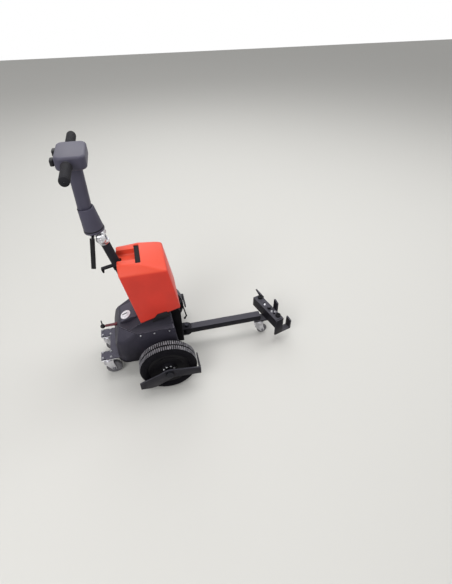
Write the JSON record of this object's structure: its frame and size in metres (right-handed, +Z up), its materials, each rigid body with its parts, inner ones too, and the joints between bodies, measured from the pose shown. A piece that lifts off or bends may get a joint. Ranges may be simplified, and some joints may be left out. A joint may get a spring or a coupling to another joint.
{
  "type": "walk-behind electric tug",
  "caption": "Walk-behind electric tug: two driven wheels, trailing casters, tilted battery case, upright tiller, and a swinging front drawbar with a hooked coupling bar.",
  "frame": {"origin": "middle of the bounding box in plan, on the floor", "axes": "+X forward towards the coupling bar, +Y to the tug's left, +Z up"},
  "size_m": [0.9738, 0.54, 1.0841],
  "materials": {
    "black_paint": "satin black paint",
    "grey_paint": "dark grey textured paint",
    "zinc": "bright zinc-plated steel",
    "red_case": "deep red moulded plastic",
    "orange_case": "orange-red moulded plastic",
    "strap": "black woven webbing",
    "black_plastic": "fine-grained black plastic",
    "dark_red": "dark red gloss plastic",
    "white_plate": "white enamel",
    "battery": "battery cells in black plastic",
    "tyre": "worn black rubber",
    "grip": "soft black rubber",
    "caster_rubber": "grey non-marking rubber"
  },
  "bodies": {
    "chassis": {"base_frame": "black_paint", "stub_axles": "zinc", "guard_arms": "grey_paint", "lower_cover": "grey_paint", "upper_cover": "grey_paint", "front_plate": "black_paint", "rear_cowl": "black_plastic", "key_switch": "white_plate", "battery_block": "battery", "case_body": "red_case", "case_top": "orange_case", "case_strap": "strap", "case_catches": "black_plastic", "release_lever": "dark_red", "lever_knob": "black_plastic", "front_column": "black_paint", "latch_rod": "black_paint", "carrier_plate": "black_paint", "caster_plates": "zinc", "clevis": "black_paint", "lower_mast": "black_paint", "mast_bracket": "black_paint", "knuckle_base": "zinc"},
    "left_wheel": {"left_tyre": "tyre", "left_hub": "black_paint"},
    "right_wheel": {"right_tyre": "tyre", "right_hub": "black_paint"},
    "left_caster": {"left_caster_fork": "zinc"},
    "left_roller": {"left_caster_wheel": "caster_rubber"},
    "right_caster": {"right_caster_fork": "zinc"},
    "right_roller": {"right_caster_wheel": "caster_rubber"},
    "drawbar": {"drawbar_tube": "grey_paint"},
    "nose_caster": {"nose_fork": "zinc"},
    "nose_roller": {"nose_wheel": "caster_rubber"},
    "coupling": {"coupling_bar": "grey_paint", "hook_blades": "grey_paint", "bar_buffers": "grip"},
    "tiller": {"knuckle_clamp": "zinc", "tiller_boot": "black_plastic", "tiller_arm": "black_paint", "tiller_head": "black_plastic", "handlebar": "zinc", "grips": "grip", "thumb_paddles": "black_plastic", "clamp_lever": "black_plastic"}
  },
  "joints": [
    {"name": "left_wheel_spin", "type": "hinge", "parent": "chassis", "child": "left_wheel", "pos_m": [-0.18093, 0.204, 0.133], "axis": [0, 1, 0], "continuous": true},
    {"name": "right_wheel_spin", "type": "hinge", "parent": "chassis", "child": "right_wheel", "pos_m": [-0.18093, -0.204, 0.133], "axis": [0, 1, 0], "continuous": true},
    {"name": "left_caster_swivel", "type": "hinge", "parent": "chassis", "child": "left_caster", "pos_m": [-0.45893, 0.075, 0.09], "axis": [0, 0, 1], "continuous": true},
    {"name": "left_roller_spin", "type": "hinge", "parent": "left_caster", "child": "left_roller", "pos_m": [-0.44093, 0.075, 0.038], "axis": [0, 1, 0], "continuous": true},
    {"name": "right_caster_swivel", "type": "hinge", "parent": "chassis", "child": "right_caster", "pos_m": [-0.45893, -0.075, 0.09], "axis": [0, 0, 1], "continuous": true},
    {"name": "right_roller_spin", "type": "hinge", "parent": "right_caster", "child": "right_roller", "pos_m": [-0.44093, -0.075, 0.038], "axis": [0, 1, 0], "continuous": true},
    {"name": "drawbar_swing", "type": "hinge", "parent": "chassis", "child": "drawbar", "pos_m": [-0.05793, 0, 0.128], "axis": [0, 0, 1], "range_deg": [-40, 40]},
    {"name": "nose_swivel", "type": "hinge", "parent": "drawbar", "child": "nose_caster", "pos_m": [0.33007, 0, 0.08], "axis": [0, 0, 1], "continuous": true},
    {"name": "nose_roller_spin", "type": "hinge", "parent": "nose_caster", "child": "nose_roller", "pos_m": [0.35007, 0, 0.027], "axis": [0, 1, 0], "continuous": true},
    {"name": "coupling_swivel", "type": "hinge", "parent": "drawbar", "child": "coupling", "pos_m": [0.38207, 0, 0.1325], "axis": [0, 0, 1], "range_deg": [-47, 13]},
    {"name": "tiller_tilt", "type": "hinge", "parent": "chassis", "child": "tiller", "pos_m": [-0.35493, 0, 0.742], "axis": [0, 1, 0], "range_deg": [-30, 15]}
  ]
}
